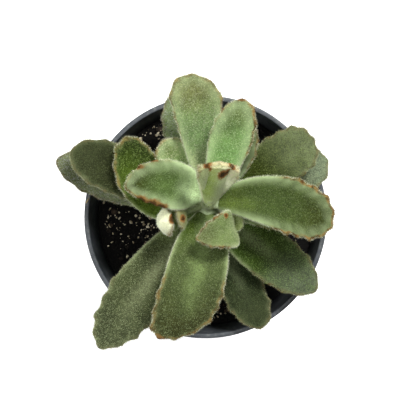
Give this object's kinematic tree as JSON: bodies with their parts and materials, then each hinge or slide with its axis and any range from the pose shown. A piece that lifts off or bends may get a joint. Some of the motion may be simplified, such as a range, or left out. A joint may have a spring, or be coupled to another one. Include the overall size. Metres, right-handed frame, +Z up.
{
  "type": "potted panda plant",
  "caption": "Small felted succulent with toothed, spoon-shaped leaves around a leaning stem, in a round tapered nursery pot with a rolled lip.",
  "frame": {"origin": "centre of the pot's underside, on the surface it stands on", "axes": "+Z up along the pot's axis, +Y towards the top of the picture and the back of the plant, +X towards the picture's right"},
  "size_m": [0.1194, 0.1161, 0.1513],
  "materials": {
    "pot_plastic": "satin black moulded plastic with fine turned rings",
    "potting_mix": "dark crumbly peat and bark with pale perlite grains",
    "stem": "pale green, felted with short hairs",
    "old_leaf": "grey-green felt with brown teeth",
    "middle_leaf": "green felt with brown teeth",
    "young_leaf": "pale green dense felt with chocolate brown teeth"
  },
  "bodies": {
    "root": {"pot": "pot_plastic", "soil": "potting_mix", "stem": "stem", "leaf_01": "old_leaf", "leaf_02": "old_leaf", "leaf_03": "old_leaf", "leaf_04": "old_leaf", "leaf_05": "old_leaf", "leaf_06": "old_leaf", "leaf_07": "old_leaf", "leaf_08": "old_leaf", "leaf_09": "middle_leaf", "leaf_10": "middle_leaf", "leaf_11": "middle_leaf", "leaf_12": "middle_leaf", "leaf_13": "middle_leaf", "leaf_14": "middle_leaf", "leaf_15": "middle_leaf", "leaf_16": "young_leaf", "leaf_17": "young_leaf", "crown_bud": "young_leaf", "side_shoot_left": "young_leaf", "side_shoot_right": "young_leaf"}
  },
  "joints": []
}
